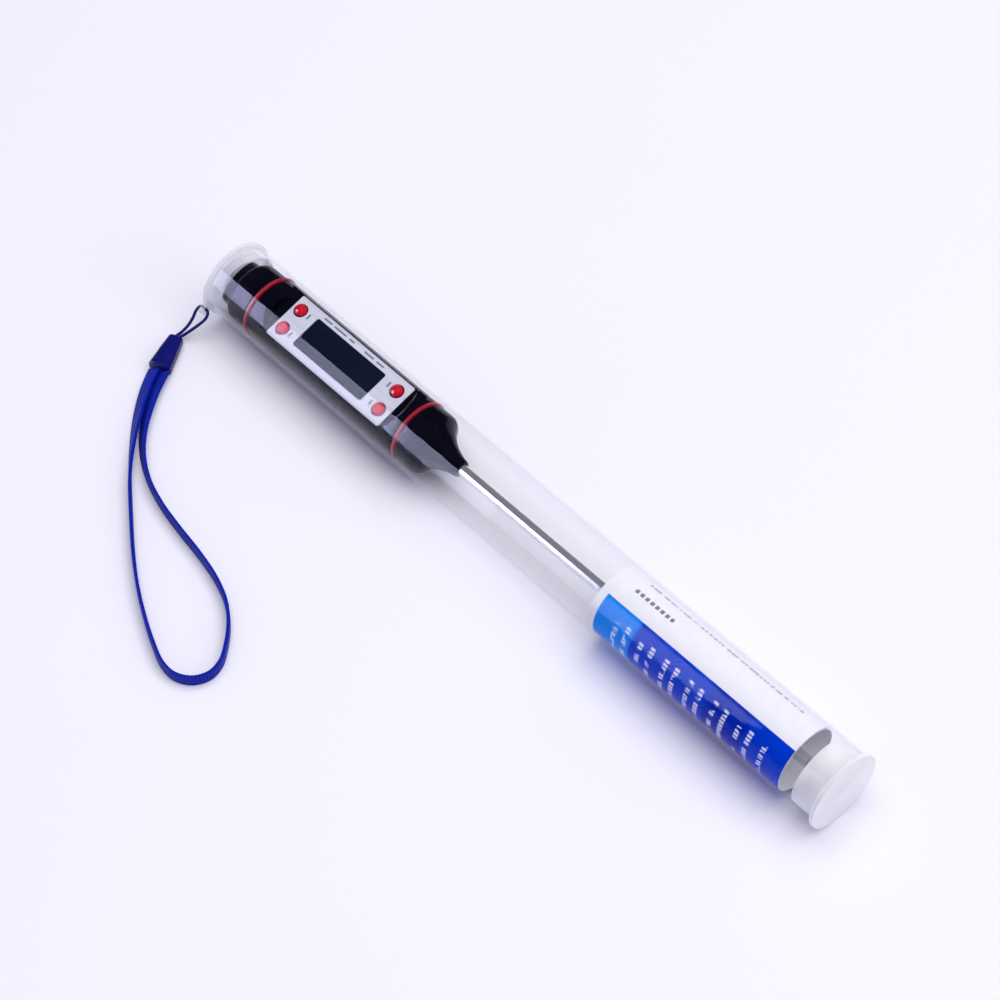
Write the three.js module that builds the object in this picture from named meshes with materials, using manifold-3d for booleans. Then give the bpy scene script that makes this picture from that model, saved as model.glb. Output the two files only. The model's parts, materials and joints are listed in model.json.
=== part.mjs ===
// Digital probe thermometer lying in its clear storage tube, with a wrist strap.
//
// Millimetres, +Z up. The tube's axis runs along X: the strap cap is at -X and the
// plain cap at +X. The object lies on its two cap flanges, on z = 0, and the origin
// is under the middle of the object without its strap.
//
// Places along the tube are given as stations: the distance from the strap cap's
// outer face. The thermometer is modelled about its own axis, with its face plate
// up, and then rolled and lowered onto the tube's lower wall.

import * as THREE from 'three';
import { mergeVertices } from 'three/addons/utils/BufferGeometryUtils.js';
import Module from 'manifold-3d';

const wasm = await Module();
wasm.setup();

// Driving dimensions ---------------------------------------------------------------

const ROUND = 40; // sides of a large round, with one side facing straight down
const FINE = 16; // sides of a small round
const GAP = 0.3; // clearance between pieces that touch

// Storage tube and caps
const LENGTH = 246; // over both caps
const TUBE_R = 11.5;
const TUBE_BORE_R = 10.95;
const FLANGE_R = 12.4;
const FLANGE = 1.3; // thickness of a cap's disc
const SKIRT_R = 10.6;
const SKIRT_BORE_R = 9.8;
const TOP_SKIRT = 4.5; // length of the strap cap's skirt
const BOTTOM_SKIRT = 8.1;
const EAR_AT_R = 12.9; // from the tube's axis to the ear's hole
const EAR_ANGLE = 17; // degrees below horizontal, on the -Y side
const EAR_R = 2.0;
const EAR_HOLE_R = 0.9;

// Rolled leaflet
const LEAFLET_FROM = 159.2;
const LEAFLET_TO = 231.9;
const LEAFLET_R = 10.6;
const PAPER = 0.3; // a fold of paper
const LEAFLET_TURNS = 1.35;
const LEAFLET_PITCH = 0.7; // radial step of one turn

// Thermometer
const ROLL = 14.5; // degrees that the face plate leans towards -Y
const DROP = 0.2; // how far its axis lies below the tube's
const THERMOMETER_FROM = 2.6;
const THERMOMETER_LENGTH = 240;
const CASE_R = 10.1;
const CASE_BORE_R = 8.8;
const CASE_FROM = 17.0;
const CASE_TO = 78.9;
const SEAL_R = 10.4;
const SEAL_BORE_R = 8.45;
const SEAL_WIDTH = 1.2;
const CAP_R = 9.7; // battery cap
const CAP_END = 15.1;
const KNOB_R = 7.4;
const KNOB_TO = 6.7;
const NOSE_FROM = 80.7;
const NOSE_TO = 98.3;
const NOSE_TIP_R = 2.45;
const PROBE_R = 1.75;
const PROBE_BORE_R = 1.3;
const PROBE_FROM = 82.0;
const POINT = 5.0; // length of the probe's pointed end

// Face: heights are above the thermometer's axis
const FLAT_H = 6.15; // flat on the case, under the plate
const PLATE_H = 6.45; // underside of the plate
const PLATE = 0.35;
const PLATE_FROM = 24.95;
const PLATE_TO = 72.75;
const PLATE_HALF = 7.75;
const RAMP = 3.8; // length of the slope at each end of the flat
const WINDOW = { from: 33.8, to: 62.95, half: 5.45 };
const DISPLAY_HOLE = { from: 35.2, to: 61.6, half: 4.4 };
const FACE_INNER_H = 4.95; // the case's inside, under the flat
const BUTTON_R = 1.85;
const BUTTON_TOP_H = 8.15;
const BUTTON_STATIONS = [27.9, 69.1];
const BUTTON_SIDE = 3.75;
const BUTTON_NAMES = [['power', 'hold'], ['unit', 'memory']]; // [station][+Y', -Y']

// Inside
const CAP_WALL = 1.2; // battery cap
const CAP_FLOOR = KNOB_TO + CAP_WALL; // inner face of its shoulder
const BOARD = { from: 22.0, to: 77.2, half: 7.0, low: 0.6, high: 1.6 };
const GLASS = { from: 31.9, to: 64.9, half: 6.2, low: 2.9, high: 4.6 };
const COLLAR_R = 7.75;
const COLLAR_BORE_R = 6.15;
const COLLAR_FROM = 8.9;
const THREAD_PITCH = 1.5;
const CELL_R = 5.8;
const CELL = 5.4;
const CONTACT_TO = 19.8; // inner end of the battery's rear contact
const LEAD_R = 0.3;
const LEAD_ROUTES = {
  positive: [[20.2, 0, -0.05], [21.5, 0.3, -0.6], [23.0, 1.2, -0.5], [25.5, 2.0, -0.05]],
  negative: [[19.4, -6.5, -1.6], [21.0, -6.3, -1.4], [23.0, -5.0, -0.6], [25.5, -4.2, -0.05]],
};
const BUSH = { from: 81.6, to: 86.3, radius: 6.3 };
const BEAD = { at: 6.2, radius: 0.9, stretch: 1.5 }; // from the probe's tip
const THERMISTOR_LEAD = { from: 74, radius: 0.22, side: 0.55 };

// Strap
const STRING_R = 0.5;
const WEBBING_WIDTH = 4.0;
const WEBBING_THICK = 1.0;
const LIFT = 0.02; // how far the strap lies above the surface
const CONNECTOR = { top: [-123.8, -21.8], bottom: [-118.5, -33.0], narrow: 4.4, wide: 7.2, tall: 4.6 };
const STRING_SLOT = { deep: 1.85, wide: 2.8, tall: 1.6 }; // in the connector's narrow end

// Both ends of the string go into the connector's slot.
const STRING_ROUTE = [
  [-122.6, -22.9, 2.3], [-123.4, -21.2, 2.3], [-123.0, -19.2, 2.7], [-122.1, -16.9, 3.9],
  [-121.0, -14.9, 5.6], [-120.2, -13.1, 7.4], [-120.7, -11.8, 8.5], [-122.35, -11.4, 8.6],
  [-124.0, -11.8, 8.5], [-124.5, -13.1, 7.4], [-124.2, -14.9, 5.6], [-124.1, -16.9, 4.0],
  [-124.3, -19.2, 2.8], [-124.5, -21.7, 2.3], [-123.7, -23.4, 2.3],
];

// The webbing stands on edge on the surface, so its route is flat.
const WEBBING_ROUTE = [
  [-116.8, -32.6], [-114.9, -36.4], [-112.8, -40.0], [-109.5, -44.8], [-103.8, -51.6],
  [-97.2, -57.2], [-89.2, -61.6], [-80.1, -64.5], [-70.0, -66.4], [-60.0, -67.9],
  [-50.5, -70.0], [-42.2, -73.3], [-36.0, -77.8], [-31.0, -83.2], [-28.0, -87.7],
  [-27.2, -92.4], [-29.2, -96.8], [-33.6, -99.5], [-39.0, -99.4], [-45.5, -97.0],
  [-53.5, -93.2], [-62.5, -88.2], [-72.2, -81.8], [-83.3, -73.4], [-95.2, -63.8],
  [-104.2, -55.0], [-111.6, -46.4], [-116.6, -39.4], [-119.7, -34.0],
];

// Worked out from those
const rad = THREE.MathUtils.degToRad;
const FLANGE_FLAT = FLANGE_R * Math.cos(Math.PI / ROUND); // axis height with a flat side down
const EAR_REACH = EAR_AT_R * Math.cos(rad(EAR_ANGLE)) + EAR_R * Math.cos(Math.PI / FINE);
const TUBE_Y = (EAR_REACH - FLANGE_FLAT) / 2; // centres the ear and flange about y = 0
const THERMOMETER_TO = THERMOMETER_FROM + THERMOMETER_LENGTH;
const PLATE_TOP_H = PLATE_H + PLATE;

// Materials ------------------------------------------------------------------------

function finish(color, roughness, metalness = 0, opacity = 1) {
  return { color, roughness, metalness, opacity, transparent: opacity < 1 };
}

const CLEAR = finish(0xeef0fa, 0.08, 0, 0.25);
const FROSTED = finish(0xe2e2ee, 0.35, 0, 0.75);
const BLACK = finish(0x08080f, 0.3);
const RED = finish(0xd0202c, 0.35);
const SILVER = finish(0xc8c9e0, 0.3, 0.4);
const STEEL = finish(0xb8b8c4, 0.18, 1);
const BRASS = finish(0xb08d45, 0.35, 1);
const GREEN = finish(0x1d5a34, 0.5);
const WHITE = finish(0xf2f3fb, 0.6);
const NAVY = finish(0x0a1070, 0.6);
const BLUE = finish(0x0c28b8, 0.75);

// Geometry helpers -----------------------------------------------------------------

function station(s) {
  return s - LENGTH / 2;
}

// A solid of revolution about X. The profile is a list of [station, radius] that runs
// towards +X along its outside. It starts and ends on the axis, or closes on itself.
function turned(profile, sides = ROUND) {
  const points = profile.map(([s, r]) => new THREE.Vector2(r, station(s)));
  const geometry = new THREE.LatheGeometry(points, sides, Math.PI / sides);
  geometry.rotateZ(-Math.PI / 2);
  return geometry;
}

function sleeve(from, to, radius, bore, sides = ROUND) {
  return turned([[from, bore], [from, radius], [to, radius], [to, bore], [from, bore]], sides);
}

function rod(from, to, radius, sides = FINE) {
  return turned([[from, 0], [from, radius], [to, radius], [to, 0]], sides);
}

// A solid of revolution about Z, from a list of [radius, height] that runs upwards
// along its outside.
function upright(profile, sides = FINE) {
  const points = profile.map(([r, h]) => new THREE.Vector2(r, h));
  const geometry = new THREE.LatheGeometry(points, sides, Math.PI / sides);
  geometry.rotateX(Math.PI / 2);
  return geometry;
}

function block(from, to, half, low, high) {
  const geometry = new THREE.BoxGeometry(to - from, 2 * half, high - low);
  geometry.translate((station(from) + station(to)) / 2, 0, (low + high) / 2);
  return geometry;
}

// A flat piece of even thickness from a plan outline, given as a Shape in X and Y.
function sheetOf(shape, low, high) {
  const geometry = new THREE.ExtrudeGeometry(shape, {
    depth: high - low, bevelEnabled: false, curveSegments: 8,
  });
  geometry.translate(0, 0, low);
  return geometry;
}

function roundedPlan(from, to, half, corner) {
  const [a, b] = [station(from), station(to)];
  const shape = new THREE.Shape();
  shape.moveTo(a + corner, -half);
  shape.lineTo(b - corner, -half);
  shape.absarc(b - corner, -half + corner, corner, -Math.PI / 2, 0);
  shape.lineTo(b, half - corner);
  shape.absarc(b - corner, half - corner, corner, 0, Math.PI / 2);
  shape.lineTo(a + corner, half);
  shape.absarc(a + corner, half - corner, corner, Math.PI / 2, Math.PI);
  shape.lineTo(a, -half + corner);
  shape.absarc(a + corner, -half + corner, corner, Math.PI, 1.5 * Math.PI);
  return shape;
}

function roundTube(curve, radius, steps, sides = 8) {
  const section = new THREE.Shape();
  for (let i = 0; i <= sides; i += 1) {
    const angle = (2 * Math.PI * i) / sides;
    const place = [radius * Math.cos(angle), radius * Math.sin(angle)];
    if (i === 0) section.moveTo(...place);
    else if (i < sides) section.lineTo(...place);
  }
  section.closePath();
  return new THREE.ExtrudeGeometry(section, { steps, extrudePath: curve, bevelEnabled: false });
}

function curveThrough(points) {
  return new THREE.CatmullRomCurve3(points.map((p) => new THREE.Vector3(...p)), false, 'centripetal');
}

// Joins and cuts
function solid(geometry) {
  const bare = geometry.clone();
  bare.deleteAttribute('normal');
  bare.deleteAttribute('uv');
  const merged = mergeVertices(bare, 1e-4);
  const vertProperties = new Float32Array(merged.attributes.position.array);
  const triVerts = new Uint32Array(merged.index.array);
  return new wasm.Manifold(new wasm.Mesh({ numProp: 3, vertProperties, triVerts }));
}

function geometryOf(manifold) {
  const mesh = manifold.getMesh();
  const geometry = new THREE.BufferGeometry();
  geometry.setAttribute('position', new THREE.BufferAttribute(mesh.vertProperties, 3));
  geometry.setIndex(new THREE.BufferAttribute(mesh.triVerts, 1));
  return geometry;
}

function piece(name, geometry, look) {
  const mesh = new THREE.Mesh(geometry, new THREE.MeshStandardMaterial(look));
  mesh.name = name;
  return mesh;
}

// Storage tube, caps and leaflet: modelled about the tube's axis ---------------------

function storageTube() {
  const from = FLANGE + GAP;
  return piece('storage_tube', sleeve(from, LENGTH - from, TUBE_R, TUBE_BORE_R), CLEAR);
}

function topCap() {
  const end = FLANGE + TOP_SKIRT;
  const edge = 0.25;
  const cap = solid(turned([
    [0, 0], [0, FLANGE_R - edge], [edge, FLANGE_R], [FLANGE - edge, FLANGE_R],
    [FLANGE, FLANGE_R - edge], [FLANGE, SKIRT_R], [end - 0.6, SKIRT_R], [end, SKIRT_R - 0.3],
    [end, SKIRT_BORE_R], [FLANGE, SKIRT_BORE_R], [FLANGE, 0],
  ]));
  const y = -EAR_AT_R * Math.cos(rad(EAR_ANGLE));
  const z = -EAR_AT_R * Math.sin(rad(EAR_ANGLE));
  const ear = rod(0, FLANGE, EAR_R);
  ear.translate(0, y, z);
  const web = new THREE.BoxGeometry(FLANGE, 3, 2 * EAR_R * 0.98);
  web.translate(station(FLANGE / 2), -EAR_AT_R + 1.5, 0);
  web.rotateX(rad(EAR_ANGLE));
  const hole = rod(-1, FLANGE + 1, EAR_HOLE_R, 16);
  hole.translate(0, y, z);
  return piece('top_cap', geometryOf(cap.add(solid(ear)).add(solid(web)).subtract(solid(hole))), FROSTED);
}

function bottomCap() {
  const disc = LENGTH - FLANGE;
  const end = disc - BOTTOM_SKIRT;
  const edge = 0.25;
  return piece('bottom_cap', turned([
    [disc, 0], [disc, SKIRT_BORE_R], [end, SKIRT_BORE_R], [end, SKIRT_R - 0.3],
    [end + 0.8, SKIRT_R], [disc, SKIRT_R], [disc, FLANGE_R - edge], [disc + edge, FLANGE_R],
    [LENGTH - edge, FLANGE_R], [LENGTH, FLANGE_R - edge], [LENGTH, 0],
  ]), FROSTED);
}

// The leaflet's section is a spiral band, which opens inwards.
function leaflet() {
  const steps = 48;
  const outer = [];
  const inner = [];
  for (let i = 0; i <= steps; i += 1) {
    const turn = (LEAFLET_TURNS * i) / steps;
    const radius = LEAFLET_R - LEAFLET_PITCH * turn;
    const angle = 2 * Math.PI * turn;
    outer.push(new THREE.Vector2(radius * Math.cos(angle), radius * Math.sin(angle)));
    inner.push(new THREE.Vector2((radius - PAPER) * Math.cos(angle), (radius - PAPER) * Math.sin(angle)));
  }
  const band = new THREE.Shape([...outer, ...inner.reverse()]);
  const geometry = new THREE.ExtrudeGeometry(band, {
    depth: LEAFLET_TO - LEAFLET_FROM, bevelEnabled: false,
  });
  geometry.rotateY(Math.PI / 2);
  geometry.translate(station(LEAFLET_FROM), 0, 0);
  return piece('instruction_leaflet', geometry, WHITE);
}

// Strap: modelled where it lies ------------------------------------------------------

function strapString() {
  return piece('strap_string', roundTube(curveThrough(STRING_ROUTE), STRING_R, 40), NAVY);
}

function strapConnector() {
  const [tx, ty] = CONNECTOR.top;
  const [bx, by] = CONNECTOR.bottom;
  const long = Math.hypot(bx - tx, by - ty);
  const bevel = 0.5;
  const [n, w] = [CONNECTOR.narrow / 2 - bevel, CONNECTOR.wide / 2 - bevel];
  const outline = new THREE.Shape([
    new THREE.Vector2(bevel, -n), new THREE.Vector2(long - bevel, -w),
    new THREE.Vector2(long - bevel, w), new THREE.Vector2(bevel, n),
  ]);
  const geometry = new THREE.ExtrudeGeometry(outline, {
    depth: CONNECTOR.tall - 2 * bevel, bevelSize: bevel, bevelThickness: bevel, bevelSegments: 2,
  });
  const slot = new THREE.BoxGeometry(2 * STRING_SLOT.deep, STRING_SLOT.wide, STRING_SLOT.tall);
  slot.translate(0, 0, STRING_ROUTE[0][2] - bevel - LIFT);
  const sleeved = geometryOf(solid(geometry).subtract(solid(slot)));
  sleeved.rotateZ(Math.atan2(by - ty, bx - tx));
  sleeved.translate(tx, ty, bevel + LIFT);
  return piece('strap_connector', sleeved, NAVY);
}

function strapWebbing() {
  const z = WEBBING_WIDTH / 2 + LIFT;
  const route = curveThrough(WEBBING_ROUTE.map(([x, y]) => [x, y, z]));
  const [w, t] = [WEBBING_WIDTH / 2, WEBBING_THICK / 2];
  const section = new THREE.Shape([
    new THREE.Vector2(-w, -t), new THREE.Vector2(w, -t), new THREE.Vector2(w, t), new THREE.Vector2(-w, t),
  ]);
  const geometry = new THREE.ExtrudeGeometry(section, { steps: 64, extrudePath: route, bevelEnabled: false });
  return piece('strap_webbing', geometry, BLUE);
}

// Thermometer: modelled about its own axis, face up ------------------------------------

function batteryCap() {
  const from = THERMOMETER_FROM;
  return piece('battery_cap', turned([
    [from, 0], [from, KNOB_R - 0.7], [from + 0.2, KNOB_R - 0.2], [from + 0.7, KNOB_R],
    [KNOB_TO, KNOB_R], [KNOB_TO, 8.1], [KNOB_TO + 0.5, 9.0], [KNOB_TO + 1.5, CAP_R],
    [CAP_END, CAP_R], [CAP_END, SEAL_BORE_R], [KNOB_TO + 1.7, SEAL_BORE_R],
    [CAP_FLOOR, 7.0], [CAP_FLOOR, KNOB_R - CAP_WALL], [from + CAP_WALL, KNOB_R - CAP_WALL],
    [from + CAP_WALL, 0],
  ]), BLACK);
}

// A rubber ring with rounded outer corners, which stands just proud of the case.
function sealRing(name, middle) {
  const [a, b] = [middle - SEAL_WIDTH / 2, middle + SEAL_WIDTH / 2];
  return piece(name, turned([
    [a, SEAL_BORE_R], [a, SEAL_R - 0.3], [a + 0.25, SEAL_R], [b - 0.25, SEAL_R],
    [b, SEAL_R - 0.3], [b, SEAL_BORE_R], [a, SEAL_BORE_R],
  ]), RED);
}

// The cutter that leaves the flat for the face plate, with a slope at each end.
function flatCutter() {
  const [a, b] = [station(PLATE_FROM - 0.5), station(PLATE_TO + 0.5)];
  const top = FLAT_H + RAMP + 1;
  const outline = new THREE.Shape([
    new THREE.Vector2(a, FLAT_H), new THREE.Vector2(b, FLAT_H),
    new THREE.Vector2(b + RAMP + 1, top), new THREE.Vector2(a - RAMP - 1, top),
  ]);
  const geometry = new THREE.ExtrudeGeometry(outline, { depth: 30, bevelEnabled: false });
  geometry.translate(0, 0, -15);
  geometry.rotateX(Math.PI / 2);
  return solid(geometry);
}

function buttonPlaces() {
  return BUTTON_NAMES.flatMap((pair, i) => pair.map((name, j) => ({
    name, x: station(BUTTON_STATIONS[i]), y: j === 0 ? BUTTON_SIDE : -BUTTON_SIDE,
  })));
}

function pinCutter(x, y, radius, low, high) {
  const geometry = new THREE.CylinderGeometry(radius, radius, high - low, FINE);
  geometry.rotateX(Math.PI / 2);
  geometry.translate(x, y, (low + high) / 2);
  return solid(geometry);
}

function caseHalves() {
  const keep = 0.15; // half of the gap between the two shells
  const wall = solid(sleeve(CASE_FROM, CASE_TO, CASE_R, CASE_BORE_R));
  const under = solid(block(CASE_FROM, CASE_TO, 12, -12, keep));
  const over = solid(block(CASE_FROM, CASE_TO, 12, -keep, 12));
  // The floor under the flat closes the front shell where the flat cuts its round wall.
  const [a, b] = [PLATE_FROM - 4.5, PLATE_TO + 4.5];
  const lens = solid(block(a, b, 12, FACE_INNER_H, 12));
  const floor = solid(rod(a, b, CASE_BORE_R + 0.4, ROUND)).intersect(lens);
  let front = wall.add(floor).subtract(flatCutter()).subtract(under);
  front = front.subtract(solid(block(DISPLAY_HOLE.from, DISPLAY_HOLE.to, DISPLAY_HOLE.half, 4, 8)));
  for (const { x, y } of buttonPlaces()) {
    front = front.subtract(pinCutter(x, y, BUTTON_R + 0.35, 4, 8));
  }
  return [
    piece('front_shell', geometryOf(front), BLACK),
    piece('rear_shell', geometryOf(wall.subtract(over)), BLACK),
  ];
}

function facePlate() {
  const outline = roundedPlan(PLATE_FROM, PLATE_TO, PLATE_HALF, 0.5);
  outline.holes.push(roundedPlan(WINDOW.from, WINDOW.to, WINDOW.half, 0.8));
  for (const { x, y } of buttonPlaces()) {
    const hole = new THREE.Path();
    hole.absarc(x, y, BUTTON_R + 0.3, 0, 2 * Math.PI, true);
    outline.holes.push(hole);
  }
  return piece('face_plate', sheetOf(outline, PLATE_H, PLATE_TOP_H), SILVER);
}

function displayWindow() {
  const { from, to, half } = WINDOW;
  const outline = roundedPlan(from + GAP, to - GAP, half - GAP, 0.6);
  return piece('display_window', sheetOf(outline, PLATE_H, PLATE_TOP_H - 0.05), finish(0x0a1223, 0.05));
}

function displayParts() {
  const { from, to, half, low, high } = GLASS;
  const frame = roundedPlan(from - 1.3, to + 1.3, half + 0.8, 0.6);
  frame.holes.push(roundedPlan(from - GAP, to + GAP, half + GAP, 0.2));
  const strip = block(from + 1.5, to - 1.5, 0.8, BOARD.high + GAP, low - GAP);
  strip.translate(0, 1 - half, 0);
  return [
    piece('lcd_glass', block(from, to, half, low, high), finish(0x3a4438, 0.1)),
    piece('lcd_frame', sheetOf(frame, BOARD.high + GAP, high), WHITE),
    piece('contact_strip', strip, finish(0xc77a6a, 0.7)),
  ];
}

function circuitBoard() {
  const outline = roundedPlan(BOARD.from, BOARD.to, BOARD.half, 1);
  return piece('circuit_board', sheetOf(outline, BOARD.low, BOARD.high), GREEN);
}

function controllerChip() {
  const top = BOARD.low - GAP;
  const geometry = upright([[0, -1.0], [2.2, -0.9], [3.6, -0.5], [4.2, top], [0, top]]);
  geometry.translate(station(48.5), 0, 0);
  return piece('controller_chip', geometry, BLACK);
}

// A button is a domed cap on a stem, with a flange that stays under the case's wall.
function button({ name, x, y }) {
  const flange = FACE_INNER_H - 0.35;
  const geometry = upright([
    [0, 3.2], [1.0, 3.2], [1.0, 3.9], [2.5, 3.9], [2.5, flange], [BUTTON_R, flange],
    [BUTTON_R, BUTTON_TOP_H - 1.0], [1.6, BUTTON_TOP_H - 0.5], [1.0, BUTTON_TOP_H - 0.13],
    [0, BUTTON_TOP_H],
  ]);
  geometry.translate(x, y, 0);
  return piece(`${name}_button`, geometry, RED);
}

function domeSwitch({ name, x, y }) {
  const low = BOARD.high + GAP;
  const geometry = upright([[0, low], [2.3, low], [2.3, low + 0.25], [1.2, low + 0.6], [0, low + 0.7]], 16);
  geometry.translate(x, y, 0);
  return piece(`${name}_switch`, geometry, STEEL);
}

// The collar that the battery cap screws onto. Its thread is a row of ridges.
function batteryCollar() {
  const ridges = [];
  for (let s = COLLAR_FROM + 0.8; s < CAP_END - THREAD_PITCH; s += THREAD_PITCH) {
    ridges.push([s, COLLAR_R], [s + 0.4, COLLAR_R + 0.35], [s + 0.8, COLLAR_R]);
  }
  const floor = 15.4;
  const end = 19.0;
  return piece('battery_collar', turned([
    [floor, 1.2], [floor, COLLAR_BORE_R], [COLLAR_FROM, COLLAR_BORE_R], [COLLAR_FROM, COLLAR_R],
    ...ridges, [CASE_FROM + 0.4, COLLAR_R], [CASE_FROM + 0.4, CASE_BORE_R - 0.35],
    [end, CASE_BORE_R - 0.35], [end, 1.2], [floor, 1.2],
  ]), BLACK);
}

function batteryLead(side, look) {
  const route = curveThrough(LEAD_ROUTES[side].map(([s, y, z]) => [station(s), y, z]));
  return piece(`battery_lead_${side}`, roundTube(route, LEAD_R, 12), look);
}

function powerParts() {
  const cell = COLLAR_FROM + 0.2;
  const back = cell + CELL;
  const spring = CAP_FLOOR + GAP;
  return [
    piece('coin_battery', turned([
      [cell, 0], [cell, CELL_R - 0.9], [cell + 0.4, CELL_R - 0.6], [cell + 0.4, CELL_R],
      [back, CELL_R], [back, 0],
    ], 32), STEEL),
    piece('battery_contact_spring', turned([
      [spring - 3.4, 0], [spring - 3.4, 3.6], [spring, 1.6], [spring + 0.55, 0],
    ]), BRASS),
    piece('battery_rear_contact', turned([
      [back + GAP, 0], [back + GAP, 2.4], [back + GAP + 0.4, 2.4], [back + GAP + 0.4, 0.85],
      [CONTACT_TO, 0.85], [CONTACT_TO, 0],
    ]), BRASS),
    batteryLead('positive', RED),
    batteryLead('negative', BLACK),
  ];
}

// The nose is a short cylinder that narrows in a hollow curve to the probe.
function noseCone() {
  return piece('nose_cone', turned([
    [NOSE_FROM, 8.5], [NOSE_FROM, CASE_R - 0.1], [85.0, CASE_R - 0.1], [86.0, 9.8], [86.8, 9.25],
    [87.6, 8.35], [88.8, 6.95], [90.4, 5.55], [92.5, 4.3], [95.2, 3.25], [NOSE_TO - 0.3, NOSE_TIP_R + 0.15],
    [NOSE_TO, NOSE_TIP_R], [NOSE_TO, PROBE_R + 0.25], [91.6, PROBE_R + 0.25], [90.0, 3.4],
    [88.0, 5.4], [86.6, 7.0], [84.4, 8.5], [NOSE_FROM, 8.5],
  ]), BLACK);
}

function probeParts() {
  const bead = THERMOMETER_TO - BEAD.at;
  const tip = THERMOMETER_TO;
  const bean = new THREE.SphereGeometry(BEAD.radius, 16, 12);
  bean.scale(BEAD.stretch, 1, 1);
  bean.translate(station(bead), 0, 0);
  const leads = [1, -1].map((side, i) => {
    const end = bead - BEAD.radius * BEAD.stretch - 0.35;
    const wire = rod(THERMISTOR_LEAD.from, end, THERMISTOR_LEAD.radius, 8);
    wire.translate(0, THERMISTOR_LEAD.side * side, 0);
    return piece(['thermistor_lead_a', 'thermistor_lead_b'][i], wire, RED);
  });
  return [
    piece('probe_bush', sleeve(BUSH.from, BUSH.to, BUSH.radius, PROBE_R + 0.3, 32), BRASS),
    piece('probe_tube', turned([
      [PROBE_FROM, PROBE_BORE_R], [PROBE_FROM, PROBE_R], [tip - POINT, PROBE_R],
      [tip - POINT * 0.55, PROBE_R * 0.8], [tip - POINT * 0.15, 0.6], [tip, 0],
      [tip - POINT * 0.8, 0], [tip - POINT * 0.85, PROBE_BORE_R], [PROBE_FROM, PROBE_BORE_R],
    ], FINE), STEEL),
    piece('thermistor_bead', bean, BLACK),
    ...leads,
  ];
}

// Assembly -------------------------------------------------------------------------

const tubeGroup = new THREE.Group();
tubeGroup.position.set(0, TUBE_Y, FLANGE_FLAT);
tubeGroup.add(storageTube(), topCap(), bottomCap(), leaflet());

const thermometer = new THREE.Group();
thermometer.position.set(0, TUBE_Y, FLANGE_FLAT - DROP);
thermometer.rotation.x = rad(ROLL);
thermometer.add(
  batteryCap(),
  sealRing('battery_seal_ring', (CAP_END + CASE_FROM) / 2),
  ...caseHalves(),
  facePlate(),
  displayWindow(),
  ...displayParts(),
  circuitBoard(),
  controllerChip(),
  ...buttonPlaces().map(button),
  ...buttonPlaces().map(domeSwitch),
  batteryCollar(),
  ...powerParts(),
  sealRing('nose_seal_ring', (CASE_TO + NOSE_FROM) / 2),
  noseCone(),
  ...probeParts(),
);

const group = new THREE.Group();
group.add(tubeGroup, thermometer, strapString(), strapConnector(), strapWebbing());

export default group;
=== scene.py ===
"""Digital probe thermometer in its clear storage tube, with a wrist strap.

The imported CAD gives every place. Pieces of the thermometer are made about its own
axis, face plate up, in millimetres, and then rolled and lowered to where it lies.
"""
import json
import math

import bmesh
import bpy
from mathutils import Matrix, Vector


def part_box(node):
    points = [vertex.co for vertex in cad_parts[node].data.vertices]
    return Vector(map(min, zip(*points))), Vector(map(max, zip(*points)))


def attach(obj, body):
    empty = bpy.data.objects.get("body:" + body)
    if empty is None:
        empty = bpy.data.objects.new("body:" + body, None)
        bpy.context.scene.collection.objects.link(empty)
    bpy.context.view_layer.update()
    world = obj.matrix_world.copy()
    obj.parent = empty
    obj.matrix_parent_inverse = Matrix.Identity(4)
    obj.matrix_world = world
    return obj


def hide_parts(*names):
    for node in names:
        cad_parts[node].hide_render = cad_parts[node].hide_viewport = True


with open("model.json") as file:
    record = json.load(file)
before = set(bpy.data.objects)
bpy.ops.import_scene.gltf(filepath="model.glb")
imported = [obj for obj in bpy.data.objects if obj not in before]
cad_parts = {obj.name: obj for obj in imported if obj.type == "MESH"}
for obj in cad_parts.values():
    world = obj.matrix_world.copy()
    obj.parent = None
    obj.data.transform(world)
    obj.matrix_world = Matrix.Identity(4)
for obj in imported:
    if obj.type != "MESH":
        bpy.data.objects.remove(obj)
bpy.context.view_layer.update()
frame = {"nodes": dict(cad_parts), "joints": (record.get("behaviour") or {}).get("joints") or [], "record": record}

MM = 0.001
SIDES = 128  # sides of a visible round


# Places from the frame ---------------------------------------------------------------


def span(node):
    """The node's box as (low corner, high corner), in millimetres."""
    low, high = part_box(node)
    return low / MM, high / MM


TUBE_LOW, TUBE_HIGH = span("storage_tube")
TUBE_AXIS = (TUBE_LOW + TUBE_HIGH) / 2
TUBE_R = 11.5
BORE_R = 10.95
FLANGE_R = 12.4  # a cap's disc
FLANGE = 1.3  # its thickness
SKIRT_R = 10.6  # the part of a cap that goes into the tube
SKIRT_BORE_R = 9.8
LEFT = span("top_cap")[0].x  # outer face of the strap cap
RIGHT = span("bottom_cap")[1].x
RING_LOW, RING_HIGH = span("nose_seal_ring")
PROBE_AXIS = (RING_LOW + RING_HIGH) / 2
PRESS = next(j for j in frame["joints"] if j["name"] == "power_press")["axis"]
ROLL = math.atan2(PRESS[1], -PRESS[2])
CASE_FROM, CASE_TO = (corner.x for corner in span("front_shell"))
PLATE_FROM, PLATE_TO = (corner.x for corner in span("face_plate"))
LEAF_FROM, LEAF_TO = (corner.x for corner in span("instruction_leaflet"))

TO_TUBE = Matrix.Translation(Vector((0, TUBE_AXIS.y, TUBE_AXIS.z)) * MM)
TO_THERMOMETER = (Matrix.Translation(Vector((0, PROBE_AXIS.y, PROBE_AXIS.z)) * MM)
                  @ Matrix.Rotation(ROLL, 4, "X"))


# Camera ------------------------------------------------------------------------------

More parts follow.
